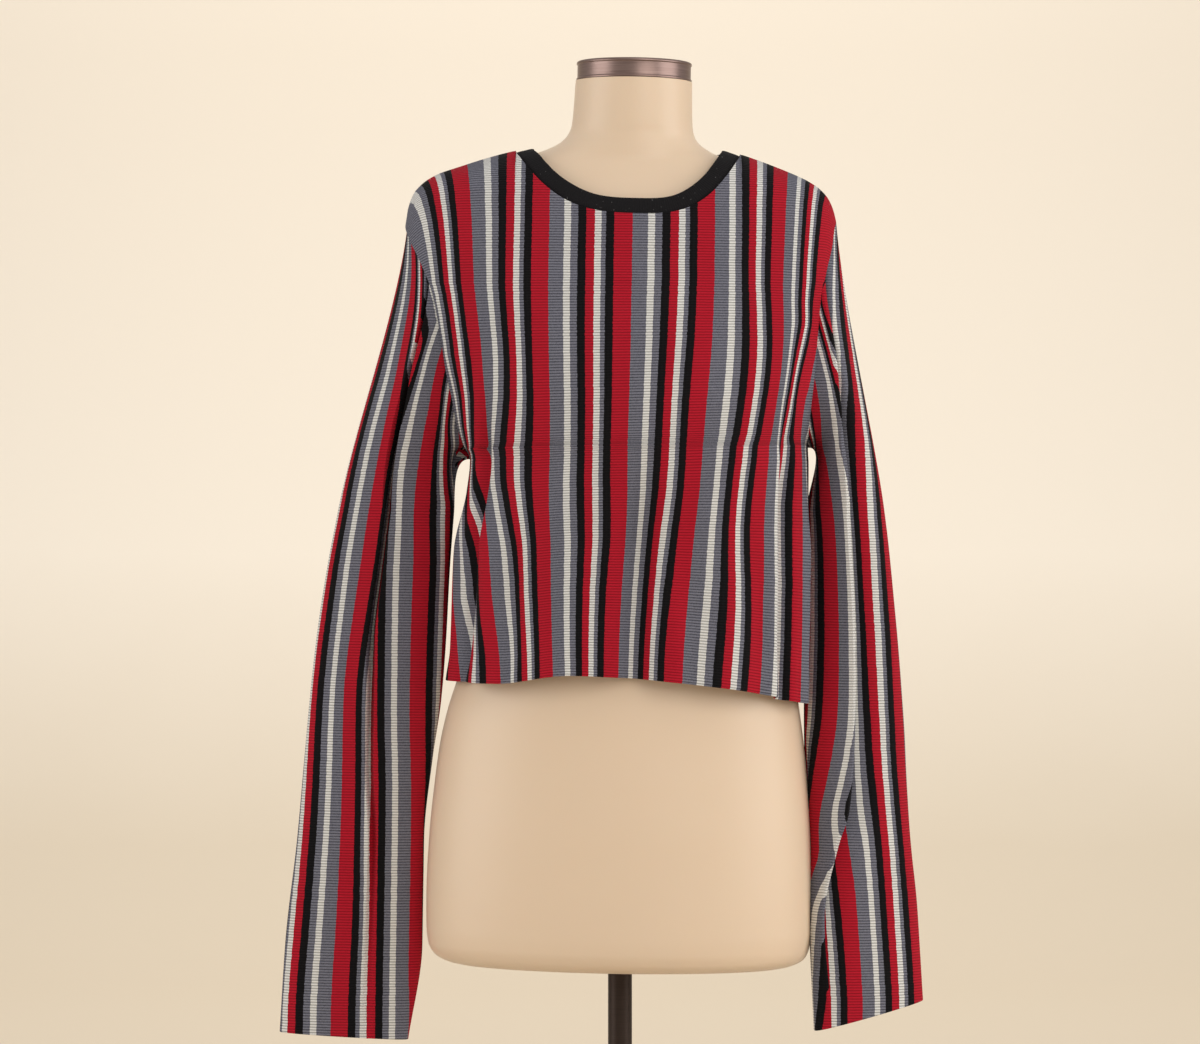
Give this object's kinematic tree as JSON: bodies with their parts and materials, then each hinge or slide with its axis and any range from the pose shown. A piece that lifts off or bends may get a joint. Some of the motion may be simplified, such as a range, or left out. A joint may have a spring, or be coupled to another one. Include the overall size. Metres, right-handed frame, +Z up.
{
  "type": "striped knit sweater worn on a limbless dress form on a stand",
  "caption": "Cropped long-sleeved knit sweater with vertical stripes and a dark ribbed neckband, worn on a limbless dress form on a pole and round base.",
  "frame": {"origin": "centre of the stand's base on the floor, under the pole", "axes": "+Z up along the pole; the front of the sweater faces -Y; +X towards the sweater's sleeve on a viewer's right"},
  "size_m": [0.5782, 0.32, 1.4941],
  "materials": {
    "front": "striped fine rib knit in red, black, off-white and marled blue-grey",
    "back": "striped fine rib knit in red, black, off-white and marled blue-grey",
    "sleeve_left": "striped fine rib knit in red, black, off-white and marled blue-grey",
    "sleeve_right": "striped fine rib knit in red, black, off-white and marled blue-grey",
    "neckband": "black doubled rib knit",
    "form_torso": "smooth satin cream shell",
    "neck_cap": "satin bronze-brown metal",
    "stand_pole": "dark brown satin metal",
    "stand_base": "dark brown satin metal"
  },
  "bodies": {
    "root": {"front": "front", "back": "back", "sleeve_left": "sleeve_left", "sleeve_right": "sleeve_right", "neckband": "neckband", "form_torso": "form_torso", "neck_cap": "neck_cap", "stand_pole": "stand_pole", "stand_base": "stand_base"}
  },
  "joints": []
}
